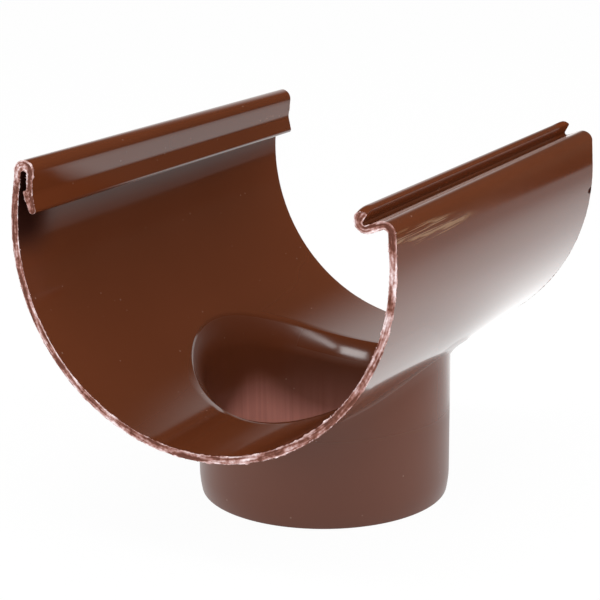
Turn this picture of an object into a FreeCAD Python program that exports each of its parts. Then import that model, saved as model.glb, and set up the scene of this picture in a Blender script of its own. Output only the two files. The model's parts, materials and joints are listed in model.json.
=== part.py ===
import FreeCAD, Part
import math
import os
import Sketcher
from FreeCAD import Vector

# Half-round gutter outlet, one piece of rigid plastic.
# A saddle that the gutter lies in, sawn off square at both ends, with a hooked bead along the front edge,
# a rolled lip along the back edge and a round spigot formed down out of its bottom for the downpipe.
# Millimetres. X runs across the gutter, Y along it and Z up.
# The origin is the centre of the spigot's lower rim.

# Driving dimensions: alias, value, meaning
DIMENSIONS = [
    ("gutter_radius", 65.0, "outside radius of the gutter that lies in the saddle"),
    ("seat_gap", 1.0, "play between the gutter and the saddle"),
    ("wall", 2.4, "wall of the saddle and of the spigot"),
    ("saddle_length", 175.0, "length along the gutter, between the sawn ends"),
    ("axis_height", 105.4, "axis of the saddle above the spigot's rim"),
    ("front_lean", 9.0, "degrees by which the wall below the bead leans inwards"),
    ("slot_radius", 1.2, "half the width of the bead's slot"),
    ("slot_height", 18.6, "centre of the slot's round roof above the saddle's axis"),
    ("crown_rise", 1.0, "centre of the bead's crown above the slot's centre"),
    ("waist_radius", 5.0, "hollow on the visible side of the bead's leg"),
    ("waist_inset", 6.2, "bottom of that hollow, in from the saddle's inner face"),
    ("waist_height", 12.6, "centre of that hollow above the axis"),
    ("tail_radius", 1.3, "round end of the leg's tail"),
    ("tail_inset", 5.95, "centre of the tail's end, in from the inner face"),
    ("tail_height", 7.2, "centre of the tail's end above the axis"),
    ("barb_round", 0.35, "rounding of the barb's two corners"),
    ("barb_inset", 2.95, "face of the barb, in from the inner face"),
    ("barb_low", 12.1, "lower corner's centre above the axis"),
    ("barb_high", 12.9, "upper corner's centre above the axis"),
    ("step_round", 0.3, "hollow corner above the barb"),
    ("step_inset", 3.85, "centre of that hollow corner, in from the inner face"),
    ("step_height", 13.7, "centre of that hollow corner above the axis"),
    ("back_lean", 3.0, "degrees by which the back edge's wall leans inwards"),
    ("corner_radius", 3.7, "outside of the bend at the top of the back edge"),
    ("ridge_rise", 0.3, "top of that bend above the cradle's centre"),
    ("shelf_reach", 5.75, "from the bend's centre to the cradle's centre"),
    ("cradle_height", 14.9, "centre of the lip's cradle above the axis"),
    ("cradle_radius", 3.9, "outside of the cradle"),
    ("cradle_floor", 2.2, "thickness below the cradle's channel"),
    ("lip_wall", 2.6, "thickness of the upstanding lip"),
    ("channel_radius", 0.8, "round bottom of the channel"),
    ("lip_top_radius", 2.4, "outside of the lip's top"),
    ("lip_height", 16.1, "centre of the lip's top above the axis"),
    ("nub_radius", 0.7, "nub along the lip's edge, over the channel"),
    ("nub_angle", 55.0, "degrees above level where lip top and nub meet"),
    ("ease_length", 6.0, "length over which the lip's top runs down at each sawn end"),
    ("ease_depth", 2.0, "how far it runs down at the end"),
    ("spigot_diameter", 90.0, "outside of the spigot"),
    ("lead_length", 8.0, "height over which the spigot's end draws in"),
    ("lead_depth", 0.9, "how far it draws in at the rim"),
    ("rim_bevel", 0.6, "bevel of the spigot's rim, outside and inside"),
    ("socket_height", 30.0, "top of the straight stretch that takes the downpipe's socket"),
    ("draft", 0.5, "degrees by which the spigot widens above that stretch"),
    ("blend_radius", 6.2, "hollow blend between the saddle's underside and the spigot"),
]

doc = FreeCAD.newDocument("gutter_outlet")


def make_sheet():
    """Writes every driving dimension to the spreadsheet under its alias."""
    sheet = doc.addObject("Spreadsheet::Sheet", "sizes")
    for row, (alias, value, meaning) in enumerate(DIMENSIONS, start=1):
        sheet.set("A%d" % row, alias)
        sheet.set("B%d" % row, str(value))
        sheet.set("C%d" % row, meaning)
        sheet.setAlias("B%d" % row, alias)
    doc.recompute()
    return sheet


sheet = make_sheet()

# What follows from the driving dimensions
INNER = "(sizes.gutter_radius + sizes.seat_gap)"
OUTER = "(sizes.gutter_radius + sizes.seat_gap + sizes.wall)"
CROWN = "(sizes.slot_radius + sizes.wall)"
SPIGOT = "(sizes.spigot_diameter / 2)"
BORE = "(sizes.spigot_diameter / 2 - sizes.wall)"
POST_TOP = "(sizes.axis_height - sizes.gutter_radius / 2)"
LEAD_ARC = "((sizes.lead_length ^ 2 + sizes.lead_depth ^ 2) / (2 * sizes.lead_depth))"
EASE_ARC = "((sizes.ease_length ^ 2 + sizes.ease_depth ^ 2) / (2 * sizes.ease_depth))"


def value_of(expression):
    """The number that an expression on the sheet gives."""
    result = sheet.evalExpression(expression)
    return float(getattr(result, "Value", result))


def origin_plane(body, role):
    """One of the body's own origin planes."""
    return [feature for feature in body.Origin.OriginFeatures if feature.Role == role][0]


def new_sketch(body, name, role, height):
    """A sketch on an origin plane, raised in its own plane so that its centre is height above the rim."""
    sketch = body.newObject("Sketcher::SketchObject", name)
    sketch.AttachmentSupport = [(origin_plane(body, role), "")]
    sketch.MapMode = "FlatFace"
    if height:
        sketch.AttachmentOffset = FreeCAD.Placement(Vector(0, value_of(height), 0), FreeCAD.Rotation())
        sketch.setExpression("AttachmentOffset.Base.y", height)
    return sketch


def drive(sketch, name, constraint, expression):
    """Adds a dimension to the sketch and binds it to the sheet."""
    index = sketch.addConstraint(constraint)
    sketch.renameConstraint(index, name)
    sketch.setExpression("Constraints." + name, expression)


# Points of a sketch's geometry, as the constraints number them
START = 1
END = 2
CENTRE = 3
ORIGIN = (-1, 1)
LEVEL_AXIS = -1


class Round:
    """One round of an outline: its centre and radius, each as an expression on the sheet.

    turn is 1 where the outline turns left round it, with the material inside, and -1 where it turns right.
    touches tells that it runs on from the round before it with no line between them. That contact already
    places its centre in height.
    """

    def __init__(self, name, x, z, radius, turn, touches=False):
        self.name = name
        self.x = x
        self.z = z
        self.radius = radius
        self.turn = turn
        self.touches = touches

    def centre(self):
        return Vector(value_of(self.x), value_of(self.z), 0)

    def signed_radius(self):
        return self.turn * value_of(self.radius)


def contact_normal(first, second):
    """The left-hand normal of the line that is tangent to both rounds."""
    across = second.centre() - first.centre()
    bend = (second.signed_radius() - first.signed_radius()) / across.Length
    heading = math.atan2(across.y, across.x) - math.asin(max(-1.0, min(1.0, bend)))
    return Vector(-math.sin(heading), math.cos(heading), 0)


def touching_point(spot, normal):
    return spot.centre() - normal * spot.signed_radius()


def round_arc(spot, arriving, leaving):
    """The arc of a round between the contact it is entered at and the one it is left at."""
    circle = Part.Circle(spot.centre(), Vector(0, 0, 1), abs(spot.signed_radius()))
    first = touching_point(spot, arriving)
    last = touching_point(spot, leaving)
    if spot.turn < 0:
        first, last = last, first
    return Part.ArcOfCircle(circle, circle.parameter(first), circle.parameter(last))


def draw_outline(sketch, rounds):
    """Draws a closed outline of rounds joined by tangent lines, and ties it to the sheet."""
    count = len(rounds)
    normals = [contact_normal(rounds[i - 1], rounds[i]) for i in range(count)]
    arcs = []
    for i, spot in enumerate(rounds):
        arcs.append(sketch.addGeometry(round_arc(spot, normals[i], normals[(i + 1) % count]), False))
    for i, spot in enumerate(rounds):
        before = rounds[i - 1]
        leave = END if before.turn > 0 else START
        arrive = START if spot.turn > 0 else END
        if spot.touches:
            sketch.addConstraint(Sketcher.Constraint("Tangent", arcs[i - 1], leave, arcs[i], arrive))
            continue
        line = Part.LineSegment(touching_point(before, normals[i]), touching_point(spot, normals[i]))
        line_id = sketch.addGeometry(line, False)
        sketch.addConstraint(Sketcher.Constraint("Tangent", arcs[i - 1], leave, line_id, START))
        sketch.addConstraint(Sketcher.Constraint("Tangent", line_id, END, arcs[i], arrive))
    for i, spot in enumerate(rounds):
        radius = Sketcher.Constraint("Radius", arcs[i], abs(spot.signed_radius()))
        drive(sketch, spot.name + "_radius", radius, spot.radius)
        place_centre(sketch, arcs[i], spot)


def place_centre(sketch, arc, spot):
    """Ties a round's centre to the sheet, in the directions that its contacts leave open."""
    centre = spot.centre()
    if spot.x == "0":
        sketch.addConstraint(Sketcher.Constraint("Coincident", arc, CENTRE, *ORIGIN))
        return
    across = Sketcher.Constraint("DistanceX", *ORIGIN, arc, CENTRE, centre.x)
    drive(sketch, spot.name + "_x", across, spot.x)
    if not spot.touches:
        up = Sketcher.Constraint("DistanceY", *ORIGIN, arc, CENTRE, centre.y)
        drive(sketch, spot.name + "_z", up, spot.z)


def lean_in(outside, height, lean):
    """How far out a round stands that touches a wall leaning inwards above the saddle's axis.

    outside is the wall's radius about the axis less the round's own, and height is the round's centre.
    """
    return "((%s - %s * sin(%s * 1deg)) / cos(%s * 1deg))" % (outside, height, lean, lean)


def saddle_rounds():
    """The section of the saddle, walked with the material on the left, from the back edge's bend.

    X is counted from the saddle's axis towards the back edge, and heights from the same axis.
    """
    corner_z = "(sizes.cradle_height + sizes.ridge_rise - sizes.corner_radius)"
    corner_x = lean_in("(%s - sizes.corner_radius)" % OUTER, corner_z, "sizes.back_lean")
    cradle_x = "(%s - sizes.shelf_reach)" % corner_x
    channel_x = "(%s - sizes.cradle_radius + sizes.lip_wall + sizes.channel_radius)" % cradle_x
    channel_z = "(sizes.cradle_height - sizes.cradle_radius + sizes.cradle_floor + sizes.channel_radius)"
    lip_x = "(%s - sizes.cradle_radius + sizes.lip_top_radius)" % cradle_x
    nub_step = "(sizes.lip_top_radius - sizes.nub_radius)"
    nub_x = "(%s + %s * cos(sizes.nub_angle * 1deg))" % (lip_x, nub_step)
    nub_z = "(sizes.lip_height + %s * sin(sizes.nub_angle * 1deg))" % nub_step
    inner_corner = "(sizes.corner_radius - sizes.wall)"
    slot_x = "-" + lean_in("(%s - sizes.slot_radius)" % INNER, "sizes.slot_height", "sizes.front_lean")
    crown_z = "(sizes.slot_height + sizes.crown_rise)"
    crown_x = "-" + lean_in("(%s - %s)" % (OUTER, CROWN), crown_z, "sizes.front_lean")
    step_x = "(sizes.step_inset - %s)" % INNER
    barb_x = "(sizes.barb_inset + sizes.barb_round - %s)" % INNER
    tail_x = "(sizes.tail_inset - %s)" % INNER
    waist_x = "(sizes.waist_inset + sizes.waist_radius - %s)" % INNER
    return [
        Round("outer_wall", "0", "0", OUTER, 1),
        Round("corner", corner_x, corner_z, "sizes.corner_radius", 1),
        Round("channel", channel_x, channel_z, "sizes.channel_radius", -1),
        Round("nub", nub_x, nub_z, "sizes.nub_radius", 1),
        Round("lip_top", lip_x, "sizes.lip_height", "sizes.lip_top_radius", 1, touches=True),
        Round("cradle", cradle_x, "sizes.cradle_height", "sizes.cradle_radius", 1),
        Round("inner_corner", corner_x, corner_z, inner_corner, -1),
        Round("inner_wall", "0", "0", INNER, -1),
        Round("slot", slot_x, "sizes.slot_height", "sizes.slot_radius", -1),
        Round("step", step_x, "sizes.step_height", "sizes.step_round", -1),
        Round("barb_top", barb_x, "sizes.barb_high", "sizes.barb_round", 1),
        Round("barb_foot", barb_x, "sizes.barb_low", "sizes.barb_round", 1),
        Round("tail", tail_x, "sizes.tail_height", "sizes.tail_radius", 1),
        Round("waist", waist_x, "sizes.waist_height", "sizes.waist_radius", -1),
        Round("crown", crown_x, crown_z, CROWN, 1),
    ]


def add_saddle(body):
    """The hooked half-round section, run the length of the saddle."""
    sketch = new_sketch(body, "saddle_section", "XZ_Plane", "sizes.axis_height")
    draw_outline(sketch, saddle_rounds())
    pad = body.newObject("PartDesign::Pad", "saddle")
    pad.Profile = sketch
    pad.SideType = "Symmetric"
    pad.setExpression("Length", "sizes.saddle_length")
    doc.recompute()
    return pad


def draw_ease(sketch, side):
    """The corner that is taken off the lip at one end: what lies above an arc that leaves the top evenly."""
    end = value_of("sizes.saddle_length / 2") * side
    start = value_of("sizes.saddle_length / 2 - sizes.ease_length") * side
    depth = value_of("sizes.ease_depth")
    bend = value_of(EASE_ARC)
    level = Vector(start, 0, 0)
    low = Vector(end, -depth, 0)
    high = Vector(end, 0, 0)
    circle = Part.Circle(Vector(start, -bend, 0), Vector(0, 0, 1), bend)
    first, last = (low, level) if side > 0 else (level, low)
    low_end, level_end = (START, END) if side > 0 else (END, START)
    arc = sketch.addGeometry(Part.ArcOfCircle(circle, circle.parameter(first), circle.parameter(last)), False)
    top = sketch.addGeometry(Part.LineSegment(level, high), False)
    drop = sketch.addGeometry(Part.LineSegment(high, low), False)
    sketch.addConstraint(Sketcher.Constraint("Tangent", arc, level_end, top, START))
    sketch.addConstraint(Sketcher.Constraint("Coincident", top, END, drop, START))
    sketch.addConstraint(Sketcher.Constraint("Coincident", drop, END, arc, low_end))
    sketch.addConstraint(Sketcher.Constraint("Vertical", drop))
    sketch.addConstraint(Sketcher.Constraint("PointOnObject", top, START, LEVEL_AXIS))
    sketch.addConstraint(Sketcher.Constraint("PointOnObject", top, END, LEVEL_AXIS))
    place = "far" if side > 0 else "near"
    across = Sketcher.Constraint("DistanceX", *ORIGIN, top, END, end)
    drive(sketch, place + "_end", across, "%d * sizes.saddle_length / 2" % side)
    down = Sketcher.Constraint("DistanceY", drop, END, drop, START, depth)
    drive(sketch, place + "_depth", down, "sizes.ease_depth")
    drive(sketch, place + "_arc", Sketcher.Constraint("Radius", arc, bend), EASE_ARC)


def ease_lip(body):
    """Runs the lip's top down at both sawn ends, so that the gutter's back edge slips in under it."""
    lip_top = "sizes.axis_height + sizes.lip_height + sizes.lip_top_radius"
    sketch = new_sketch(body, "lip_side", "YZ_Plane", lip_top)
    for side in (1, -1):
        draw_ease(sketch, side)
    pocket = body.newObject("PartDesign::Pocket", "lip_ends")
    pocket.Profile = sketch
    pocket.Reversed = True
    pocket.setExpression("Length", "sizes.gutter_radius")
    doc.recompute()
    return pocket


def draw_turned(sketch, radius, arc_radius, turn_in):
    """Half the section of a round post on the Z axis, drawn in at its foot by an arc.

    The arc's centre lies at the height where the drawing-in starts, so it meets the side without a corner.
    Above the stretch for the downpipe's socket the side widens by the draft.
    The rim's bevel runs inwards for the spigot, where turn_in is 1, and outwards for the bore, where it is -1.
    """
    side = value_of(radius)
    bend = value_of(arc_radius)
    start = value_of("sizes.lead_length")
    bevel = value_of("sizes.rim_bevel")
    socket = value_of("sizes.socket_height")
    height = value_of(POST_TOP)
    top_radius = "(%s + %s)" % (radius, widening(POST_TOP))
    centre = Vector(side - bend, start, 0)
    low = Vector(centre.x + math.sqrt(bend ** 2 - (start - bevel) ** 2), bevel, 0)
    foot = Vector(low.x - turn_in * bevel, 0, 0)
    top = Vector(value_of(top_radius), height, 0)
    circle = Part.Circle(centre, Vector(0, 0, 1), bend)
    lead = sketch.addGeometry(Part.ArcOfCircle(circle, circle.parameter(low), 2 * math.pi), False)
    corners = [Vector(side, start, 0), Vector(side, socket, 0), top, Vector(0, height, 0), Vector(0, 0, 0), foot, low]
    lines = []
    for first, last in zip(corners, corners[1:]):
        lines.append(sketch.addGeometry(Part.LineSegment(first, last), False))
    post, flare, lid, axis, base, rim = lines
    sketch.addConstraint(Sketcher.Constraint("Tangent", lead, END, post, START))
    for before, after in zip(lines, lines[1:] + [lead]):
        sketch.addConstraint(Sketcher.Constraint("Coincident", before, END, after, START))
    sketch.addConstraint(Sketcher.Constraint("Coincident", axis, END, *ORIGIN))
    for upright in (post, axis):
        sketch.addConstraint(Sketcher.Constraint("Vertical", upright))
    for level in (lid, base):
        sketch.addConstraint(Sketcher.Constraint("Horizontal", level))
    drive(sketch, "side", Sketcher.Constraint("DistanceX", *ORIGIN, post, START, side), radius)
    drive(sketch, "lead_start", Sketcher.Constraint("DistanceY", *ORIGIN, post, START, start), "sizes.lead_length")
    drive(sketch, "lead_arc", Sketcher.Constraint("Radius", lead, bend), arc_radius)
    drive(sketch, "socket", Sketcher.Constraint("DistanceY", *ORIGIN, post, END, socket), "sizes.socket_height")
    drive(sketch, "top_radius", Sketcher.Constraint("DistanceX", *ORIGIN, flare, END, top.x), top_radius)
    drive(sketch, "top", Sketcher.Constraint("DistanceY", *ORIGIN, flare, END, height), POST_TOP)
    drive(sketch, "bevel_rise", Sketcher.Constraint("DistanceY", rim, START, rim, END, bevel), "sizes.rim_bevel")
    inner, outer = (START, END) if turn_in > 0 else (END, START)
    drive(sketch, "bevel_run", Sketcher.Constraint("DistanceX", rim, inner, rim, outer, bevel), "sizes.rim_bevel")


def widening(height):
    """By how much the draft has widened the spigot at a height above its straight stretch."""
    return "((%s - sizes.socket_height) * tan(sizes.draft * 1deg))" % height


def turn(body, kind, name, sketch):
    """Turns a half section about the spigot's axis."""
    feature = body.newObject(kind, name)
    feature.Profile = sketch
    feature.ReferenceAxis = (sketch, ["V_Axis"])
    feature.Angle = 360.0
    doc.recompute()
    return feature


def add_spigot(body):
    """The spigot as a solid post that reaches through the saddle's wall."""
    sketch = new_sketch(body, "spigot_side", "XZ_Plane", None)
    draw_turned(sketch, SPIGOT, LEAD_ARC, 1)
    return turn(body, "PartDesign::Revolution", "spigot", sketch)


def clear_trough(body):
    """Cuts the post's top back to the saddle's inner face, over the half round below the axis."""
    sketch = new_sketch(body, "trough_section", "XZ_Plane", "sizes.axis_height")
    radius = value_of(INNER)
    circle = Part.Circle(Vector(0, 0, 0), Vector(0, 0, 1), radius)
    arc = sketch.addGeometry(Part.ArcOfCircle(circle, math.pi, 2 * math.pi), False)
    chord = sketch.addGeometry(Part.LineSegment(Vector(radius, 0, 0), Vector(-radius, 0, 0)), False)
    sketch.addConstraint(Sketcher.Constraint("Coincident", arc, END, chord, START))
    sketch.addConstraint(Sketcher.Constraint("Coincident", chord, END, arc, START))
    sketch.addConstraint(Sketcher.Constraint("Coincident", arc, CENTRE, *ORIGIN))
    sketch.addConstraint(Sketcher.Constraint("Horizontal", chord))
    sketch.addConstraint(Sketcher.Constraint("PointOnObject", chord, START, LEVEL_AXIS))
    drive(sketch, "trough_radius", Sketcher.Constraint("Radius", arc, radius), INNER)
    pocket = body.newObject("PartDesign::Pocket", "trough")
    pocket.Profile = sketch
    pocket.SideType = "Symmetric"
    pocket.setExpression("Length", "sizes.saddle_length")
    doc.recompute()
    return pocket


def add_bore(body):
    """The water way down through the spigot, one wall inside its outline all the way."""
    sketch = new_sketch(body, "bore_side", "XZ_Plane", None)
    draw_turned(sketch, BORE, "(%s - sizes.wall)" % LEAD_ARC, -1)
    return turn(body, "PartDesign::Groove", "bore", sketch)


def edges_where(feature, test):
    """The names of the feature's edges whose sample points all pass the test."""
    names = []
    for number, edge in enumerate(feature.Shape.Edges, start=1):
        points = edge.discretize(Number=9)
        if all(test(point) for point in points):
            names.append("Edge%d" % number)
    return names


def from_spigot_axis(point):
    return math.hypot(point.x, point.y)


def from_saddle_axis(point):
    return math.hypot(point.x, point.z - value_of("sizes.axis_height"))


def round_edges(body, name, base, test, expression):
    """Rounds the edges that pass the test."""
    near = 0.02
    names = edges_where(base, lambda point: test(point, near))
    if not names:
        raise RuntimeError("no edge to round for " + name)
    fillet = body.newObject("PartDesign::Fillet", name)
    fillet.Base = (base, names)
    fillet.setExpression("Radius", expression)
    doc.recompute()
    return fillet


def on_seam(spigot_radius, saddle_radius):
    """A test for the curve where the spigot's drafted side meets a round on the saddle's axis."""
    def test(point, near):
        off_spigot = abs(from_spigot_axis(point) - spigot_radius - value_of(widening(point.z)))
        off_saddle = abs(from_saddle_axis(point) - saddle_radius)
        return off_spigot < near and off_saddle < near
    return test


def make_outlet():
    """The whole outlet as one body."""
    body = doc.addObject("PartDesign::Body", "outlet_body")
    body.Label = "gutter_outlet"
    add_saddle(body)
    ease_lip(body)
    add_spigot(body)
    clear_trough(body)
    bore = add_bore(body)
    under = on_seam(value_of(SPIGOT), value_of(OUTER))
    blend = round_edges(body, "blend", bore, under, "sizes.blend_radius")
    inside = on_seam(value_of(BORE), value_of(INNER))
    body.Tip = round_edges(body, "mouth", blend, inside, "sizes.blend_radius + sizes.wall")
    doc.recompute()
    return body


def check(body):
    """Stops unless every object is sound and the outlet is one closed solid."""
    for item in doc.Objects:
        if "Invalid" in item.State or "Error" in item.State:
            raise RuntimeError("%s did not build: %s" % (item.Name, item.State))
    shape = body.Shape
    if shape.isNull() or not shape.isValid() or len(shape.Solids) != 1:
        raise RuntimeError("the outlet is not one valid solid")


def main():
    outlet = make_outlet()
    check(outlet)
    os.makedirs("parts", exist_ok=True)
    outlet.Shape.exportStep("parts/%s.step" % outlet.Label)
    box = outlet.Shape.BoundBox
    print("gutter_outlet %.1f x %.1f x %.1f mm" % (box.XLength, box.YLength, box.ZLength))
    print("volume %.0f mm3, %d faces" % (outlet.Shape.Volume, len(outlet.Shape.Faces)))


main()
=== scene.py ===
import json
import math
import bpy
import numpy as np
from mathutils import Matrix, Vector

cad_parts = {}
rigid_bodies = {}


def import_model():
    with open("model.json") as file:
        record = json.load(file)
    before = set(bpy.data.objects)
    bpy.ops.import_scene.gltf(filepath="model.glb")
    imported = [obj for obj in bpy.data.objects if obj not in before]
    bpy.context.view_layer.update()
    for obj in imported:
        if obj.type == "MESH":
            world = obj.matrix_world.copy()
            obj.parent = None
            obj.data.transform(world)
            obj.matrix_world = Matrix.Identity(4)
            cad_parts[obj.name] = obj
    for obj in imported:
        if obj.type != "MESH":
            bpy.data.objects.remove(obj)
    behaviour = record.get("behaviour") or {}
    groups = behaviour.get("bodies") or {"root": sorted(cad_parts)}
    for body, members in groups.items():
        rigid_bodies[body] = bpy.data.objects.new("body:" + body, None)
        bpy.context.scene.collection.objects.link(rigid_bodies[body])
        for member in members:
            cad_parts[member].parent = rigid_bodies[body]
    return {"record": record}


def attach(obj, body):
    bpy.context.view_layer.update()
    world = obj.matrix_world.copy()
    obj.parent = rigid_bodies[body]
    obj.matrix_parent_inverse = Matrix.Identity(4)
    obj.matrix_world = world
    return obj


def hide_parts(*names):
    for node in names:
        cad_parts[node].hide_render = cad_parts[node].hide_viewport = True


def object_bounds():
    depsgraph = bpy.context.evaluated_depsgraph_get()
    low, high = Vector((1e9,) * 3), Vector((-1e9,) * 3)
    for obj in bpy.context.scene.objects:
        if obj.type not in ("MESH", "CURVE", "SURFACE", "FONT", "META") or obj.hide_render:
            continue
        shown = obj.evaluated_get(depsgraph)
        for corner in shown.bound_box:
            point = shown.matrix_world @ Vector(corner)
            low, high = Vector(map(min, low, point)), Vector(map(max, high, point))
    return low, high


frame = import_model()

mm = 0.001
cadLow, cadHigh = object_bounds()

# the outlet's fits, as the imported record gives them, in millimetres
mounts = {mount["name"]: mount for mount in frame["record"]["mounts"]}
axisHeight = mounts["gutter_seat"]["pos_m"][2] / mm
troughRadius = mounts["gutter_seat"]["dims"]["r_mm"]
spigotRadius = mounts["spigot"]["dims"]["r_mm"]
wall = spigotRadius - mounts["outlet_bore"]["dims"]["r_mm"]
saddleRadius = troughRadius + wall
halfLength = (cadHigh[1] - cadLow[1]) / mm / 2

# section of the saddle, in millimetres and degrees
section = {
    "frontLean": 9.0, "slotRadius": 1.2, "slotHeight": 18.6, "crownRise": 1.0,
    "waistRadius": 5.0, "waistInset": 6.2, "waistHeight": 12.6,
    "tailRadius": 1.3, "tailInset": 5.95, "tailHeight": 7.2,
    "barbRound": 0.35, "barbInset": 2.95, "barbLow": 12.1, "barbHigh": 12.9,
    "stepRound": 0.3, "stepInset": 3.85, "stepHeight": 13.7,
    "backLean": 3.0, "cornerRadius": 3.7, "ridgeRise": 0.3, "shelfReach": 5.75,
    "cradleHeight": 14.9, "cradleRadius": 3.9, "cradleFloor": 2.2, "lipWall": 2.6, "channelRadius": 0.8,
    "lipTopRadius": 2.4, "lipHeight": 16.1, "nubRadius": 0.7, "nubAngle": 55.0,
    # over what length and how far the lip's top runs down at the near and the far end
    "nearEase": (5.0, 1.2), "farEase": (2.0, 0.5),
    # how far below the middle of the lip's top round that starts, and how far inside the outer wall the lip is
    "easeRoot": 2.0, "lipInset": 8.4,
}


def leanIn(outside, height, lean):
    turn = math.radians(lean)
    return (outside - height * math.sin(turn)) / math.cos(turn)


def sectionRounds(s):
    # (name, x, z, radius), anticlockwise with the plastic on the left; a hollow round has a minus radius
    cornerZ = s["cradleHeight"] + s["ridgeRise"] - s["cornerRadius"]
    cornerX = leanIn(saddleRadius - s["cornerRadius"], cornerZ, s["backLean"])
    cradleX = cornerX - s["shelfReach"]
    channelX = cradleX - s["cradleRadius"] + s["lipWall"] + s["channelRadius"]
    channelZ = s["cradleHeight"] - s["cradleRadius"] + s["cradleFloor"] + s["channelRadius"]
    lipX = cradleX - s["cradleRadius"] + s["lipTopRadius"]
    nubStep = s["lipTopRadius"] - s["nubRadius"]
    nubTurn = math.radians(s["nubAngle"])
    crownRadius = s["slotRadius"] + wall
    crownZ = s["slotHeight"] + s["crownRise"]
    barbX = s["barbInset"] + s["barbRound"] - troughRadius
    return [
        ("outerWall", 0, 0, saddleRadius),
        ("corner", cornerX, cornerZ, s["cornerRadius"]),
        ("channel", channelX, channelZ, -s["channelRadius"]),
        ("nub", lipX + nubStep * math.cos(nubTurn), s["lipHeight"] + nubStep * math.sin(nubTurn), s["nubRadius"]),
        ("lipTop", lipX, s["lipHeight"], s["lipTopRadius"]),
        ("cradle", cradleX, s["cradleHeight"], s["cradleRadius"]),
        ("innerCorner", cornerX, cornerZ, wall - s["cornerRadius"]),
        ("innerWall", 0, 0, -troughRadius),
        ("slot", -leanIn(troughRadius - s["slotRadius"], s["slotHeight"], s["frontLean"]), s["slotHeight"],
         -s["slotRadius"]),
        ("step", s["stepInset"] - troughRadius, s["stepHeight"], -s["stepRound"]),
        ("barbTop", barbX, s["barbHigh"], s["barbRound"]),
        ("barbFoot", barbX, s["barbLow"], s["barbRound"]),
        ("tail", s["tailInset"] - troughRadius, s["tailHeight"], s["tailRadius"]),
        ("waist", s["waistInset"] + s["waistRadius"] - troughRadius, s["waistHeight"], -s["waistRadius"]),
        ("crown", -leanIn(saddleRadius - crownRadius, crownZ, s["frontLean"]), crownZ, crownRadius),
    ]


class Outline:
    # walks the rounds and the straight runs that touch them
    def __init__(self, rounds):
        self.names = [r[0] for r in rounds]
        self.centres = [np.array(r[1:3], float) for r in rounds]
        self.radii = [r[3] for r in rounds]
        self.normals = [self.contactNormal(i - 1, i) for i in range(len(rounds))]

    def contactNormal(self, i, j):
        across = self.centres[j] - self.centres[i]
        bend = (self.radii[j] - self.radii[i]) / np.linalg.norm(across)
        heading = math.atan2(across[1], across[0]) - math.asin(max(-1.0, min(1.0, bend)))
        return np.array([-math.sin(heading), math.cos(heading)])

    def touch(self, i, normal):
        return self.centres[i] - self.radii[i] * normal

    def run(self, name, count):
        # the straight run that arrives at a round
        i = self.names.index(name)
        first = self.touch(i - 1, self.normals[i])
        last = self.touch(i, self.normals[i])
        return first + np.linspace(0, 1, count + 1)[:, None] * (last - first)

    def arc(self, name, count, fromAngle=None, toAngle=None):
        i = self.names.index(name)
        radius = self.radii[i]
        arriving = -math.copysign(1, radius) * self.normals[i]
        leaving = -math.copysign(1, radius) * self.normals[(i + 1) % len(self.names)]
        first = math.atan2(arriving[1], arriving[0]) if fromAngle is None else fromAngle
        last = math.atan2(leaving[1], leaving[0]) if toAngle is None else toAngle
        turn = (last - first) % (2 * math.pi)
        if radius < 0:
            turn -= 2 * math.pi
        return bow(self.centres[i], abs(radius), first + np.linspace(0, 1, count + 1) * turn)


def bow(centre, radius, angles):
    return centre + radius * np.stack([np.cos(angles), np.sin(angles)], 1)


def chain(pieces):
    # joins runs and arcs end to end, each shared point once
    return np.concatenate([pieces[0]] + [piece[1:] for piece in pieces[1:]])


# the outlet's wall as a fine mesh
shell = {
    "patchTurn": 62.0,       # degrees each side of the bottom that the spigot's joint takes up
    "patchSteps": 92,
    "fineEnds": (0.0, 0.35, 0.8, 1.4, 2.1, 3.0, 4.0, 5.0, 6.0, 7.5),
    "lengthSteps": 44,
    # the steps of the straight run up to each round of the section, and of the round itself
    "backSteps": (("outerWall", 0, 14), ("corner", 5, 12), ("channel", 4, 14), ("nub", 4, 8), ("lipTop", 0, 8),
                  ("cradle", 4, 14), ("innerCorner", 4, 12), ("innerWall", 5, 14)),
    "frontSteps": (("innerWall", 0, 16), ("slot", 5, 16), ("step", 5, 3), ("barbTop", 1, 3), ("barbFoot", 2, 3),
                   ("tail", 5, 12), ("waist", 5, 12), ("crown", 5, 16), ("outerWall", 5, 16)),
    "saddleSteps": 14, "saddleCrowd": 0.8, "blendSteps": 14, "mouthSteps": 20, "sideSteps": 10,
    "leadSteps": 8, "rimSteps": 6,
    "blendRadius": 6.2,
    "blendFullness": (0.8, 0.45),   # how round the bends start and end, 1 for a true arc
    "blendRise": (1.4, 0.05),       # the outer bend's lower end sits this much higher than a true one's,
                                    # and rises by this share more where the saddle is steep
    "mouthFullness": (0.06, 0.85),
    "mouthRounder": (0.42, -0.35),  # what is added to that where the mouth is roundest
    "mouthRoundest": 50.0,          # where that is, in degrees round from the lip's side
    "mouthDrop": 0.35,
    "dropPull": 0.55, "leastPull": 0.2,   # how a lowered end draws out its bend, and the least that it does
    "leadLength": 8.0,
    "leadDepth": 0.9,
    "rimRound": 0.7,
    "capRows": 7,
    "sawDepth": 0.10,        # how far the saw's marks go in
    "sawLevel": 0.6, "sawWaves": (9, 23, 61, 140), "sawSeed": 7,
    "weld": 0.002,
    "sharpAngle": 50,
}

outline = Outline(sectionRounds(section))
patchTurn = math.radians(shell["patchTurn"])
backEdge = -math.pi / 2 + patchTurn
frontEdge = -math.pi / 2 - patchTurn
patchTurns = np.linspace(-patchTurn, patchTurn, shell["patchSteps"] + 1)


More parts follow.
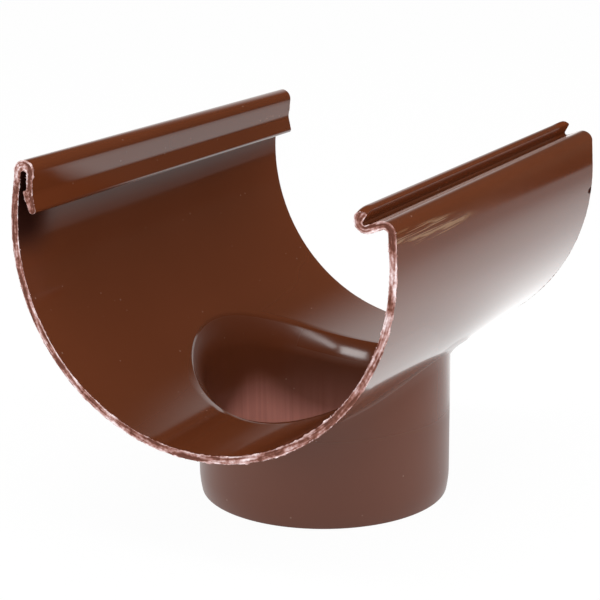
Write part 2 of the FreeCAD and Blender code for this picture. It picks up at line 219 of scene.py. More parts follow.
def edgePath(steps, edge):
    # along one edge of the saddle, from the joint on one face round to the joint on the other
    pieces = []
    for name, runSteps, arcSteps in steps:
        if runSteps:
            pieces.append(outline.run(name, runSteps))
        pieces.append(outline.arc(name, arcSteps, fromAngle=None if pieces else edge,
                                  toAngle=edge if name == steps[-1][0] else None))
    return chain(pieces)


def cutOutlines(front, back):
    # the outer and the inner outline of a sawn end, both from the bead's crown to the lip
    floor = np.stack([np.sin(patchTurns), -np.cos(patchTurns)], 1)
    half, backHalf = len(front) // 2, len(back) // 2
    outer = chain([front[half:], saddleRadius * floor, back[:backHalf + 1]])
    inner = chain([front[:half + 1][::-1], troughRadius * floor, back[backHalf:][::-1]])
    return outer, inner


backPath = edgePath(shell["backSteps"], backEdge)       # from the outer face to the inner one
frontPath = edgePath(shell["frontSteps"], frontEdge)    # from the inner face to the outer one
outerCut, innerCut = cutOutlines(frontPath, backPath)


def lengthStations():
    ends = np.array(shell["fineEnds"])
    inside = halfLength - ends[-1]
    middle = np.linspace(-inside, inside, shell["lengthSteps"] + 1)[1:-1]
    return np.concatenate([-halfLength + ends, middle, (halfLength - ends)[::-1]])


def easeLip(points):
    # the lip's top runs down to both sawn ends
    far = points[..., 1] > 0
    ease, depth = (np.where(far, *both) for both in zip(section["farEase"], section["nearEase"]))
    bend = (ease ** 2 + depth ** 2) / (2 * depth)
    root = axisHeight + section["lipHeight"] - section["easeRoot"]
    rise = section["lipTopRadius"] + section["easeRoot"]
    past = np.clip(np.abs(points[..., 1]) - (halfLength - ease), 0, ease)
    share = 1 - (bend - np.sqrt(bend ** 2 - past ** 2)) / rise
    onLip = (points[..., 0] > 0) & (points[..., 0] < saddleRadius - section["lipInset"]) & (points[..., 2] > root)
    points[..., 2] = np.where(onLip, root + (points[..., 2] - root) * share, points[..., 2])
    return points


def placed(flat, along):
    # points of the section, set into the saddle at a distance along it
    return easeLip(np.stack(np.broadcast_arrays(flat[..., 0], along, flat[..., 1] + axisHeight), -1))


def onSaddle(radius, turn, along):
    # turn is counted from the bottom towards the back edge
    return np.stack([radius * np.sin(turn), along, axisHeight - radius * np.cos(turn)], -1)


def patchBoundary(stations):
    # the joint's rectangle on the saddle, anticlockwise from above, as (turn, along)
    back = [(patchTurn, y) for y in stations[:-1]]
    far = [(turn, halfLength) for turn in patchTurns[::-1][:-1]]
    front = [(-patchTurn, y) for y in stations[::-1][:-1]]
    near = [(turn, -halfLength) for turn in patchTurns[:-1]]
    return np.array(back + far + front + near)


def slide(first, last, count, crowd=1.0):
    # blends two points in count steps; crowd above 1 packs the steps near the first
    steps = np.linspace(0, 1, count + 1) ** crowd
    return first[:, None] + steps[None, :, None] * (last - first)[:, None]


def unit(vectors):
    return vectors / np.linalg.norm(vectors, axis=-1, keepdims=True)


def bendBetween(centre, radius, fromWay, toWay, count, fullness, drop):
    # a ball's contact arc from one direction to another; fullness below 1 flattens its middle,
    # and drop lets its lower end hang lower
    cosine = np.clip((fromWay * toWay).sum(-1, keepdims=True), -1, 1)
    handle = radius * 4 / 3 * np.tan(np.arccos(cosine) / 4)
    first, last = centre + radius * fromWay, centre + radius * toWay
    drop = drop[:, None]
    last = last - drop * (0, 0, 1)
    second = first + fullness[0] * handle * unit(toWay - cosine * fromWay)
    pull = np.maximum(fullness[1] * handle + shell["dropPull"] * drop, shell["leastPull"])
    third = last + pull * unit(fromWay - cosine * toWay)
    t = np.linspace(0, 1, count + 1)[None, :, None]
    knots = [(1 - t) ** 3, 3 * t * (1 - t) ** 2, 3 * t ** 2 * (1 - t), t ** 3]
    return sum(weight * point[:, None] for weight, point in zip(knots, (first, second, third, last)))


def spigotFoot(way):
    # the drawn-in end with its rounded rim, as (radius, height) from the outer side round to the bore
    lead, rim = shell["leadLength"], shell["rimRound"]
    bend = (lead ** 2 + shell["leadDepth"] ** 2) / (2 * shell["leadDepth"])
    centre = np.array([spigotRadius - bend, lead])
    outer, inner = (np.array([centre[0] + math.sqrt(reach ** 2 - (lead - rim) ** 2), rim])
                    for reach in (bend - rim, bend - wall + rim))
    outAngle, inAngle = (math.atan2(low[1], low[0]) for low in (outer - centre, inner - centre))
    leadSteps, rimSteps = shell["leadSteps"] + 1, shell["rimSteps"] + 1
    profile = chain([
        bow(centre, bend, np.linspace(0, outAngle, leadSteps)),
        bow(outer, rim, np.linspace(outAngle, -math.pi / 2, rimSteps)),
        bow(inner, rim, np.linspace(-math.pi / 2, inAngle - math.pi, rimSteps)),
        bow(centre, bend - wall, np.linspace(inAngle, 0, leadSteps)),
    ])
    return np.stack(np.broadcast_arrays(profile[:, 0] * way[:, None, 0], profile[:, 0] * way[:, None, 1],
                                        profile[:, 1]), -1)


def mouthFullness(phi):
    # crisp where the trough is steep on the bead's side, rounder on the other
    rounder = (0.5 + 0.5 * np.cos(phi - math.radians(shell["mouthRoundest"])))[:, None] ** 2
    return [plain + more * rounder for plain, more in zip(shell["mouthFullness"], shell["mouthRounder"])]


def junction(boundary):
    # one path for each ray: saddle, blend, spigot, rim, bore, mouth, trough
    blendRadius = shell["blendRadius"]
    ballRadius = spigotRadius + blendRadius
    phi = np.arctan2(boundary[:, 1], boundary[:, 0] * saddleRadius)
    way = np.stack([np.cos(phi), np.sin(phi), 0 * phi], -1)
    drop = np.sqrt((saddleRadius + blendRadius) ** 2 - (ballRadius * np.cos(phi)) ** 2)
    ball = way * ballRadius + np.stack([0 * phi, 0 * phi, axisHeight - drop], -1)
    toAxis = unit(np.stack([-ball[:, 0], 0 * phi, axisHeight - ball[:, 2]], -1))
    edge = np.stack([np.arctan2(ball[:, 0], drop), ball[:, 1]], -1)
    wayIn = slide(boundary, edge, shell["saddleSteps"], shell["saddleCrowd"])
    outerSaddle = onSaddle(saddleRadius, wayIn[..., 0], wayIn[..., 1])
    innerSaddle = onSaddle(troughRadius, wayIn[..., 0], wayIn[..., 1])[:, ::-1]
    rise, steeper = shell["blendRise"]
    climb = ball[:, 2] - ball[:, 2].min()
    blend = bendBetween(ball, blendRadius, toAxis, -way, shell["blendSteps"], shell["blendFullness"],
                        -rise - steeper * climb)
    mouth = bendBetween(ball, blendRadius + wall, toAxis, -way, shell["mouthSteps"], mouthFullness(phi),
                        shell["mouthDrop"] * climb)[:, ::-1]
    foot = spigotFoot(way)
    side = slide(blend[:, -1], foot[:, 0], shell["sideSteps"])
    bore = slide(foot[:, -1], mouth[:, 0], shell["sideSteps"])
    pieces = [outerSaddle, blend, side, foot, bore, mouth, innerSaddle]
    ring = np.concatenate([pieces[0]] + [piece[:, 1:] for piece in pieces[1:]], axis=1)
    return np.concatenate([ring, ring[:1]], axis=0)


def sawnFace(side):
    # the cut between the outer and the inner outline at one end, torn a little in strokes that follow
    # the wall; side is 1 for the far end
    middle = (outerCut + innerCut) / 2
    along = np.concatenate([[0], np.cumsum(np.linalg.norm(np.diff(middle, axis=0), axis=1))])
    rows = np.linspace(0, 1, shell["capRows"] + 1)
    points = placed(outerCut[:, None] + rows[None, :, None] * (innerCut - outerCut)[:, None], side * halfLength)
    rng = np.random.default_rng(shell["sawSeed"] + side)
    marks = np.zeros(points.shape[:2])
    for waves in shell["sawWaves"]:
        phase = rng.uniform(0, 2 * math.pi, len(rows))
        marks += np.sin(along[:, None] / along[-1] * waves * 2 * math.pi + phase[None, :]) / len(shell["sawWaves"])
    marks[:, 0] = marks[:, -1] = 0
    marks[0] = marks[-1] = 0
    points[..., 1] -= side * shell["sawDepth"] * (shell["sawLevel"] + marks) * (marks != 0)
    return points, np.stack(np.broadcast_arrays(along[:, None], rows[None, :] * wall), -1)


class Sheets:
    # gathers grids of points into one welded mesh
    def __init__(self):
        self.points, self.faces, self.runs, self.kinds = [], [], [], []
        self.count = 0

    def add(self, grid, kind=0, flip=False, runs=None):
        rows, columns = grid.shape[:2]
        index = self.count + np.arange(rows * columns).reshape(rows, columns)
        quads = np.stack([index[:-1, :-1], index[:-1, 1:], index[1:, 1:], index[1:, :-1]], -1).reshape(-1, 4)
        self.points.append(grid.reshape(-1, 3))
        self.faces.append(quads[:, ::-1] if flip else quads)
        self.kinds.append(np.full(len(quads), kind))
        self.runs.append(np.zeros((rows * columns, 2)) if runs is None else runs.reshape(-1, 2))
        self.count += rows * columns

    def mesh(self, name):
        points, faces, kinds, runs = (np.concatenate(part) for part in (
            self.points, self.faces, self.kinds, self.runs))
        keys = np.round(points / shell["weld"]).astype(np.int64)
        _, first, welded = np.unique(keys, axis=0, return_index=True, return_inverse=True)
        joined = welded.ravel()[faces]
        sound = np.array([len(set(face)) == 4 for face in joined.tolist()])
        mesh = bpy.data.meshes.new(name)
        mesh.from_pydata((points[first] * mm).tolist(), [], joined[sound].tolist())
        mesh.polygons.foreach_set("material_index", kinds[sound].astype(np.int32))
        layer = mesh.uv_layers.new(name="sawnRun")
        layer.data.foreach_set("uv", (runs[faces[sound].ravel()] * mm).ravel())
        mesh.validate()
        mesh.update()
        return mesh


def newObject(name, data):
    thing = bpy.data.objects.new(name, data)
    bpy.context.scene.collection.objects.link(thing)
    return thing


def buildShell():
    stations = lengthStations()
    sheets = Sheets()
    sheets.add(placed(frontPath[:, None], stations))
    sheets.add(placed(backPath[:, None], stations))
    sheets.add(junction(patchBoundary(stations)))
    for side in (-1, 1):
        face, runs = sawnFace(side)
        sheets.add(face, kind=1, flip=side < 0, runs=runs)
    mesh = sheets.mesh("outletShell")
    mesh.polygons.foreach_set("use_smooth", np.ones(len(mesh.polygons), bool))
    mesh.set_sharp_from_angle(angle=math.radians(shell["sharpAngle"]))
    return newObject("outletShell", mesh)


outletShell = buildShell()
print("shell:", len(outletShell.data.polygons), "faces")


# nodes
class Value:
    # a number in a node tree that takes plain arithmetic; | picks the larger and & the smaller
    def __init__(self, tree, socket):
        self.tree, self.socket = tree, socket

    def work(self, operation, *values):
        return Value(self.tree, addNode(self.tree, "ShaderNodeMath", values, operation=operation).outputs[0])

    def __add__(self, other):
        return self.work("ADD", self, other)

    def __sub__(self, other):
        return self.work("SUBTRACT", self, other)

    def __rsub__(self, other):
        return self.work("SUBTRACT", other, self)

    def __mul__(self, other):
        return self.work("MULTIPLY", self, other)

    def __truediv__(self, other):
        return self.work("DIVIDE", self, other)

    def __rtruediv__(self, other):
        return self.work("DIVIDE", other, self)

    def __pow__(self, other):
        return self.work("POWER", self, other)

    def __or__(self, other):
        return self.work("MAXIMUM", self, other)

    def __and__(self, other):
        return self.work("MINIMUM", self, other)

    def band(self, low, high):
        # runs smoothly from 0 at low to 1 at high; low may be the larger
        ends = (low, high, 0.0, 1.0) if low < high else (high, low, 1.0, 0.0)
        names = ("Value", "From Min", "From Max", "To Min", "To Max")
        node = addNode(self.tree, "ShaderNodeMapRange", dict(zip(names, (self, *ends))),
                       interpolation_type="SMOOTHSTEP")
        return Value(self.tree, node.outputs["Result"])


def feed(tree, node, inputs):
    # each named or numbered input takes a value, a socket, another node's first output or a plain number
    for key, value in (inputs.items() if isinstance(inputs, dict) else enumerate(inputs)):
        if isinstance(value, Value):
            value = value.socket
        if isinstance(value, bpy.types.Node):
            value = value.outputs[0]
        if isinstance(value, bpy.types.NodeSocket):
            tree.links.new(value, node.inputs[key])
        else:
            node.inputs[key].default_value = value
    return node


def addNode(tree, kind, inputs=(), **settings):
    node = tree.nodes.new(kind)
    for key, value in settings.items():
        setattr(node, key, value)
    return feed(tree, node, inputs)


def length(first, second):
    # of a slant, from its two sides
    return first.work("SQRT", first * first + second * second)


def axesOf(tree, vector):
    return [Value(tree, socket) for socket in addNode(tree, "ShaderNodeSeparateXYZ", (vector,)).outputs]


def blendColour(tree, share, first, second):
    node = addNode(tree, "ShaderNodeMix", {"Factor": share}, data_type="RGBA")
    places = [index for index, socket in enumerate(node.inputs) if socket.type == "RGBA"]
    feed(tree, node, {place: colour if isinstance(colour, bpy.types.NodeSocket) else (*colour, 1)
                      for place, colour in zip(places, (first, second))})
    return [socket for socket in node.outputs if socket.type == "RGBA"][0]


def stretchedNoise(tree, vector, stretch, turn=(0, 0, 0), detail=3.0):
    turned = tuple(math.radians(angle) for angle in turn)
    mapping = addNode(tree, "ShaderNodeMapping", {"Vector": vector, "Rotation": turned, "Scale": stretch})
    return Value(tree, addNode(tree, "ShaderNodeTexNoise", {
        "Vector": mapping, "Scale": 1.0, "Detail": detail}).outputs[0])


def freshTree(owner, outputKind, shaderKind):
    # empties a material's or world's tree and gives it one shader
    owner.use_nodes = True
    tree = owner.node_tree
    tree.nodes.clear()
    shader = tree.nodes.new(shaderKind)
    addNode(tree, outputKind, (shader,))
    return tree, shader


def newMaterial(name, shaderKind="ShaderNodeBsdfPrincipled"):
    material = bpy.data.materials.new(name)
    return material, *freshTree(material, "ShaderNodeOutputMaterial", shaderKind)


def objectPlace(tree):
    return tree.nodes.new("ShaderNodeTexCoord").outputs["Object"]


# what all the plastic shares: faint clouds, fine lines and pin-head specks
moulding = {"cloudScale": 22.0, "lineStretch": (900, 7, 900), "speckScale": 420.0,
            "speckEdge": (0.16, 0.08), "speckRarity": (0.93, 0.95)}


def makeMouldMarks():
    group = bpy.data.node_groups.new("mouldMarks", "ShaderNodeTree")
    for name, inOut, kind in (("Vector", "INPUT", "Vector"), ("Cloud Scale", "INPUT", "Float"),
                              ("Speck Scale", "INPUT", "Float"), ("Cloud", "OUTPUT", "Float"),
                              ("Lines", "OUTPUT", "Float"), ("Specks", "OUTPUT", "Float")):
        group.interface.new_socket(name, in_out=inOut, socket_type="NodeSocket" + kind)
    place, cloudScale, speckScale = group.nodes.new("NodeGroupInput").outputs[:3]
    cloud = addNode(group, "ShaderNodeTexNoise", {"Vector": place, "Scale": cloudScale})
    lines = stretchedNoise(group, place, moulding["lineStretch"])
    spots = addNode(group, "ShaderNodeTexVoronoi", {"Vector": place, "Scale": speckScale})
    near = Value(group, spots.outputs["Distance"]).band(*moulding["speckEdge"])
    pick = addNode(group, "ShaderNodeSeparateColor", (spots.outputs["Color"],))
    rare = Value(group, pick.outputs[0]).band(*moulding["speckRarity"])
    addNode(group, "NodeGroupOutput", {"Cloud": cloud, "Lines": lines, "Specks": near * rare})
    return group


mouldMarks = makeMouldMarks()


def marksIn(tree, place, cloudScale=moulding["cloudScale"]):
    node = addNode(tree, "ShaderNodeGroup", node_tree=mouldMarks)
    feed(tree, node, {"Vector": place, "Cloud Scale": cloudScale, "Speck Scale": moulding["speckScale"]})
    return [Value(tree, node.outputs[name]) for name in ("Cloud", "Lines", "Specks")]


def dress(tree, shader, looks, height, distance):
    # feeds a shader, with a bump of the height given
    bump = addNode(tree, "ShaderNodeBump", {"Height": height, "Distance": distance, "Strength": 1.0})
    feed(tree, shader, {**looks, "Normal": bump})


# places on the outlet that differ in finish; each fades in from its first value in metres to its second along
# x, y, z, the reach from the spigot's axis, the rise from the saddle's axis, a slanting line or across the cut
finishPlaces = {
    "spigot": (("z", 0.040, 0.028), ("reach", 0.0475, 0.046)),
    "bore": (("reach", 0.0447, 0.0430), ("z", 0.050, 0.022)),
    "boreTop": (("reach", 0.0447, 0.0430), ("z", 0.060, 0.034)),
    "boreSkin": (("reach", 0.0436, 0.0431),),
    "boreFoot": (("z", 0.034, 0.004),),
    "mouth": (("reach", 0.0530, 0.0505), ("z", 0.026, 0.030), ("z", 0.066, 0.060), ("rise", 0.0661, 0.0667)),
    "mouthFront": (("x", -0.012, -0.040),),
    "mouthSide": (("x", -0.026, -0.034),),
    "outerFace": (("x", 0.05, 0.06),),
    "underBead": (("x", -0.0622, -0.0634), ("x", -0.0676, -0.0668), ("z", 0.093, 0.106), ("z", 0.1262, 0.1252),
                  ("y", -0.062, -0.082)),
    "nearBead": (("x", -0.050, -0.056), ("z", 0.110, 0.113), ("slant", -0.048, -0.078)),
    "lip": (("x", 0.040, 0.045), ("x", 0.0602, 0.0594), ("z", 0.117, 0.119)),
    "farEnd": (("y", 0.070, 0.078),),
    "troughFloor": (("x", 0.002, 0.008), ("x", 0.026, 0.016), ("z", 0.046, 0.0435), ("y", -0.046, -0.054)),
    "frontFace": (("x", -0.0640, -0.0652), ("z", 0.119, 0.116)),
    "ridge": (("x", 0.0590, 0.0602), ("x", 0.0648, 0.0622), ("z", 0.1184, 0.1194)),
    "crest": (("x", 0.056, 0.0585), ("z", 0.1185, 0.1200)),
    "cutFront": (("x", -0.052, -0.062), ("z", 0.119, 0.112)),
    "cutCrown": (("x", -0.050, -0.055), ("z", 0.112, 0.119)),
    "cutInnerRim": (("across", wall * mm - 0.0006, wall * mm - 0.0001),),
    "cutOuterRim": (("across", 0.0005, 0.0001),),
}


def share(measures, name):
    # 1 in the middle of a place and 0 outside it
    whole = None
    for measure, low, high in finishPlaces[name]:
        part = measures[measure].band(low, high)
        whole = part if whole is None else whole * part
    return whole


plasticFinish = {
    "brown": (0.118, 0.0290, 0.0100), "brownDeep": (0.102, 0.0248, 0.0083),
    "gloss": 0.09, "cloudGloss": 0.06, "spigotGloss": 0.32, "boreGloss": 0.38, "boreGrain": 0.08,
    "mouthGloss": 0.15, "mouthFrontGloss": 0.20, "ridgeGloss": 0.20,
    "coat": 0.4, "coatGloss": 0.07, "refraction": 1.5, "shine": 0.5,
    "bump": 0.00004, "lineBump": 0.05, "scratchBump": 0.2,
    # the pale patch low in the bore is painted light, broken into streaks: where round the bore it reaches
    # highest, how wide that is, and the heights that it reaches everywhere and there
    "scuff": (0.53, 0.210, 0.165), "scuffTurn": 155, "scuffWidth": 0.42, "scuffHeights": (0.013, 0.017),
    "scuffEdge": (0.005, -0.014), "scuffFoot": 0.45, "scuffGrain": 0.3,
    "streaks": (((700, 700, 12), 4, 0.65), ((90, 90, 9), 3, 0.35)), "streakEdge": (0.30, 0.66),
    # the scratches on the outer face: middle and half size along and up, slope, and the two kinds of line
    "scratch": (0.24, 0.125, 0.060), "scratchPlace": (-0.066, 0.1138), "scratchSize": (0.042, 0.0036),
    "scratchSlope": 0.055, "scratchEdge": (1.0, 0.15), "scratchGloss": 0.3,
    "scratchLines": (((0.001, 26, 2300), 3.0, (0.56, 0.66)), ((0.001, 34, 620), 3.4, (0.50, 0.64))),
    "nickPlace": (0.0870, 0.0985), "nickSize": (0.0032, 0.0013), "nickEdge": (1.2, 0.7),
    "dust": (0.36, 0.24, 0.19), "dustShare": 0.4,
    "rubbed": (0.82, 0.62, 0.56), "rub": 0.8,       # painted highlight along the ridge's crest, and how strongly it is painted
    "slotShade": (0.030, 0.009, 0.006),             # painted shade under the bead at the near end, also painted into the nick
    "beadSlant": (0.1205, 3.2),                     # height and steepness of the line where the bead's end dulls
    # how much duller the trough's floor, the mouth's side and the face behind the bead are
    "floorDull": 0.75, "mouthDull": 0.45, "frontDull": 0.3,
}


def boreLightPatch(tree, look, place, measures):
    # painted light low in the bore, broken into streaks; it reaches highest on the side away from the bead's end
    fine, wide = (stretchedNoise(tree, place, stretch, detail=detail) * weight
                  for stretch, detail, weight in look["streaks"])
    turn = measures["x"].work("ARCTAN2", measures["y"], measures["x"])
    off = (turn - math.radians(look["scuffTurn"])) / look["scuffWidth"]
    everywhere, more = look["scuffHeights"]
    top = (1.0 / (off ** 2.0 + 1.0)) * more + everywhere
    under = (measures["z"] - top).band(*look["scuffEdge"])
    grain = (fine + wide).band(*look["streakEdge"])
    low = share(measures, "boreFoot") * look["scuffFoot"]
    uneven = grain * look["scuffGrain"] + (1 - look["scuffGrain"])
    return grain, (under | low) * share(measures, "boreSkin") * uneven


def scratches(tree, look, place, measures):
    # on the outer face, just below the ridge at the near end
    middleY, middleZ = look["scratchPlace"]
    halfAlong, halfUp = look["scratchSize"]
    along = measures["y"] - middleY
    sink = (measures["z"] - middleZ) + along * look["scratchSlope"]
    far = (along / halfAlong) ** 2.0 + (sink / halfUp) ** 2.0
    fine, broad = (stretchedNoise(tree, place, stretch, turn=(turn, 0, 0), detail=2).band(*edge)
                   for stretch, turn, edge in look["scratchLines"])
    return far.band(*look["scratchEdge"]) * share(measures, "outerFace") * (fine | broad)


def nick(look, measures):
    # a dark spot of painted shade in the far edge of the outer face, standing in for a nick that is not built
    across, up = ((measures[name] - middle) / half
                  for name, middle, half in zip("yz", look["nickPlace"], look["nickSize"]))
    return (across ** 2.0 + up ** 2.0).band(*look["nickEdge"]) * share(measures, "outerFace")


def brownPlastic():
    look = plasticFinish
    material, tree, shader = newMaterial("brownPlastic")
    place = objectPlace(tree)
    cloud, lines, specks = marksIn(tree, place)
    x, y, z = axesOf(tree, place)
    slantHeight, slantSteepness = look["beadSlant"]
    measures = {"x": x, "y": y, "z": z, "reach": length(x, y), "rise": length(x, z - axisHeight * mm),
                "slant": y + (z - slantHeight) * slantSteepness}
    spigot, bore, mouth, lip, frontFace, underBead = (
        share(measures, name) for name in ("spigot", "bore", "mouth", "lip", "frontFace", "underBead"))
    # the pale patch low in the bore is painted light, broken into streaks
    grain, boreLit = boreLightPatch(tree, look, place, measures)
    scratched = scratches(tree, look, place, measures)
    nicked = nick(look, measures)
    dull = (underBead | share(measures, "nearBead") | lip * share(measures, "farEnd")
            | share(measures, "troughFloor") * look["floorDull"]
            | mouth * share(measures, "mouthSide") * look["mouthDull"] | nicked | frontFace * look["frontDull"])
    colour = blendColour(tree, cloud, look["brownDeep"], look["brown"])
    # the dark under the bead's near end and at the nick is painted shade
    # the pale line along the ridge is a painted highlight
    for covered, name in ((underBead | nicked, "slotShade"), (share(measures, "ridge") * look["rub"], "rubbed"),
                          (boreLit, "scuff"), (scratched, "scratch"), (specks * look["dustShare"], "dust")):
        colour = blendColour(tree, covered, colour, look[name])
    rough = cloud * look["cloudGloss"] + (look["gloss"] - look["cloudGloss"] / 2)
    rough = rough + spigot * (look["spigotGloss"] - look["gloss"])
    rough = rough + bore * (grain * look["boreGrain"] + (look["boreGloss"] - look["spigotGloss"]))
    rough = rough + scratched * look["scratchGloss"]
    rough = rough | mouth * (share(measures, "mouthFront") * look["mouthFrontGloss"] + look["mouthGloss"])
    rough = rough | share(measures, "boreTop") * look["boreGloss"]
    rough = rough | share(measures, "crest") * look["ridgeGloss"]   # the ridge is rougher along its top, which spreads its highlight
    bare = spigot | mouth | dull | frontFace | lip
    dress(tree, shader, {
        "Base Color": colour, "Roughness": rough, "IOR": look["refraction"],
        "Specular IOR Level": (1.0 - dull) * look["shine"],
        "Coat Weight": (1.0 - bare) * look["coat"], "Coat Roughness": look["coatGloss"],
    }, lines * look["lineBump"] + cloud - scratched * look["scratchBump"], look["bump"])
    return material


sawnFinish = {
    # the cut's colours from its deepest to its most torn places, and where each lies in the mixed pattern
    "colours": ((0.36, (0.115, 0.034, 0.020)), (0.43, (0.20, 0.072, 0.050)), (0.52, (0.38, 0.200, 0.178)),
                (0.60, (0.57, 0.40, 0.39)), (0.70, (0.82, 0.69, 0.70))),
    "strokes": ((110, 950, 1), 0.80), "strokeTurn": 7, "patches": ((75, 330, 1), 0.98),
    "level": 0.42,
    "cloudScale": 620.0, "grain": 0.34,
    "mottle": 0.48, "mottleScale": 1250,   # spots that break up the saw's strokes
    "plainMottle": 0.4,     # the share of the spots away from the bead's crown
    "rimLight": 0.08, "outerRim": 0.5,     # how much paler the cut's inner edge is, and the outer one's share
    "frontShade": 0.05,     # how much browner the cut is down the wall behind the bead
    "roughness": 0.57, "paleGloss": 0.4, "refraction": 1.5, "shine": 0.15, "bump": 0.0009,
}


def sawnPlastic():
    look = sawnFinish
    material, tree, shader = newMaterial("sawnPlastic")
    place = objectPlace(tree)
    run = addNode(tree, "ShaderNodeUVMap", uv_map="sawnRun").outputs[0]
    cloud = marksIn(tree, place, look["cloudScale"])[0]
    (strokeStretch, strokeShare), (patchStretch, patchShare) = look["strokes"], look["patches"]
    strokes = stretchedNoise(tree, run, strokeStretch, turn=(0, 0, look["strokeTurn"]), detail=5)
    patches = stretchedNoise(tree, run, patchStretch)
    mottle = stretchedNoise(tree, place, (look["mottleScale"],) * 3)
    x, y, z = axesOf(tree, place)
    measures = {"x": x, "z": z, "across": axesOf(tree, run)[1]}
    mixed = strokes * strokeShare + patches * patchShare
    mixed = mixed - (share(measures, "cutFront") * look["frontShade"] + look["level"])
    mixed = mixed + (cloud - 0.5) * look["grain"]
    spotted = share(measures, "cutCrown") * (1 - look["plainMottle"]) + look["plainMottle"]
    mixed = mixed + (mottle - 0.5) * (spotted * look["mottle"])
    rim = share(measures, "cutInnerRim") + share(measures, "cutOuterRim") * look["outerRim"]
    mixed = mixed + rim * look["rimLight"]
    ramp = addNode(tree, "ShaderNodeValToRGB", (mixed,))
    stops = ramp.color_ramp.elements
    for (position, colour), stop in zip((look["colours"][0], look["colours"][-1]), stops):
        stop.position, stop.color = position, (*colour, 1)
    for position, colour in look["colours"][1:-1]:
        stops.new(position).color = (*colour, 1)
    dress(tree, shader, {"Base Color": ramp, "Roughness": look["roughness"] - mixed * look["paleGloss"],
                         "IOR": look["refraction"], "Specular IOR Level": look["shine"]}, mixed, look["bump"])
    return material


# loose plastic: its colours, the places in the clouds where each but the first comes in, and its roughness
burrFinish = {"colours": ((0.26, 0.115, 0.09), (0.50, 0.31, 0.29), (0.80, 0.64, 0.64)),
              "edges": ((0.35, 0.5), (0.52, 0.66)), "cloudScale": 420.0, "roughness": 0.35, "bump": 0.0001}
dustFinish = {"colours": ((0.20, 0.095, 0.06), (0.42, 0.30, 0.25)),
              "edges": ((0.4, 0.6),), "cloudScale": 300.0, "roughness": 0.6, "bump": 0.00005}
looseCloud = 0.3    # how much rougher it is where the clouds are thick


def loosePlastic(name, look):
    material, tree, shader = newMaterial(name)
    cloud = marksIn(tree, objectPlace(tree), look["cloudScale"])[0]
    colour = look["colours"][0]
    for edge, over in zip(look["edges"], look["colours"][1:]):
        colour = blendColour(tree, cloud.band(*edge), colour, over)
    dress(tree, shader, {"Base Color": colour, "Roughness": cloud * looseCloud + look["roughness"]},
          cloud, look["bump"])
    return material


outletShell.data.materials.append(brownPlastic())
outletShell.data.materials.append(sawnPlastic())
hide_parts("gutter_outlet")
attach(outletShell, "root")
print("finishes done")


# geometry nodes
class GrowthTree:
    # lays out a geometry tree that takes each of the sizes as a named input
    def __init__(self, name, sizes):
        self.tree = bpy.data.node_groups.new(name, "GeometryNodeTree")
        for inOut in ("INPUT", "OUTPUT"):
            self.tree.interface.new_socket("Geometry", in_out=inOut, socket_type="NodeSocketGeometry")
        self.sizes, self.ids = sizes, {}
        for label, size in sizes.items():
            kind = "NodeSocketInt" if isinstance(size, int) else "NodeSocketFloat"
            socket = self.tree.interface.new_socket(label, in_out="INPUT", socket_type=kind)
            socket.default_value = size
            self.ids[label] = socket.identifier
        self.ins = {socket.name: socket for socket in self.tree.nodes.new("NodeGroupInput").outputs}
        self.leave = self.tree.nodes.new("NodeGroupOutput")

    def add(self, kind, inputs=(), **settings):
        return addNode(self.tree, kind, inputs, **settings)

    def value(self, socket):
        return Value(self.tree, socket)

    def attribute(self, name):
        node = self.add("GeometryNodeInputNamedAttribute", {"Name": name}, data_type="FLOAT")
        return self.value(node.outputs["Attribute"])

    def randomVector(self, low, high, seed):
        node = self.add("FunctionNodeRandomValue", {"Seed": seed}, data_type="FLOAT_VECTOR")
        for socket in node.inputs:
            if socket.type == "VECTOR":
                socket.default_value = low if socket.name == "Min" else high
        return [socket for socket in node.outputs if socket.type == "VECTOR"][0]

    def randomSize(self, low, high, seed, scale):
        return self.add("ShaderNodeVectorMath", {0: self.randomVector(low, high, seed), "Scale": scale},
                        operation="SCALE")

    def finish(self, geometry, material):
        real = self.add("GeometryNodeRealizeInstances", (geometry,))
        dressed = self.add("GeometryNodeSetMaterial", {"Geometry": real, "Material": material})
        feed(self.tree, self.leave, (dressed,))


def grow(name, mesh, growth):
    # runs the tree over a base mesh and keeps the result as a plain mesh
    base = newObject(name + "Base", mesh)
    modifier = base.modifiers.new("grow", "NODES")
    modifier.node_group = growth.tree
    for label, size in growth.sizes.items():
        modifier[growth.ids[label]] = size
    depsgraph = bpy.context.evaluated_depsgraph_get()
    result = bpy.data.meshes.new_from_object(base.evaluated_get(depsgraph))
    base.modifiers.remove(modifier)
    bpy.data.objects.remove(base)
    result.name = name
    piece = newObject(name, result)
    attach(piece, "root")
    print(name + ":", len(result.polygons), "faces")


burrs = {
    # what the tree's modifier takes, in metres, then what stays inside the tree
    "inputs": {"Spacing": 0.00028, "Bead": 0.00042, "Ragged": 0.00034, "Chip": 0.00030, "Chip Spacing": 0.0006,
               "Seed": 3},
    "swellScale": 260.0, "swellDetail": 3.0, "swellRoughness": 0.7, "swellFrom": 0.47, "swellSteep": 5.0,
    "leastBead": 0.00002, "shakeScale": 900.0, "shakeDetail": 2.0, "shake": 2.0, "beadSides": 6,
    "chipShare": 0.22, "chipLow": (0.25, 0.25, 0.4), "chipHigh": (0.8, 0.6, 1.7), "fullTurn": 6.28,
    "turnSeed": 11, "sizeSeed": 5,
    # how strongly the plastic is torn round the sawn outline, in degrees from the bottom and millimetres
    "leastTorn": 0.45, "moreTorn": 0.55, "mostTornAt": 25, "tornSpread": 45, "farShare": 0.25, "inset": 0.05,
    # the bead's leg and the face of its hollow: strength, from and to across, from and to above the axis
    "tornPlaces": ((0.8, -math.inf, -57, 9, math.inf), (1.3, -61.5, -55, 9, 19)),
}


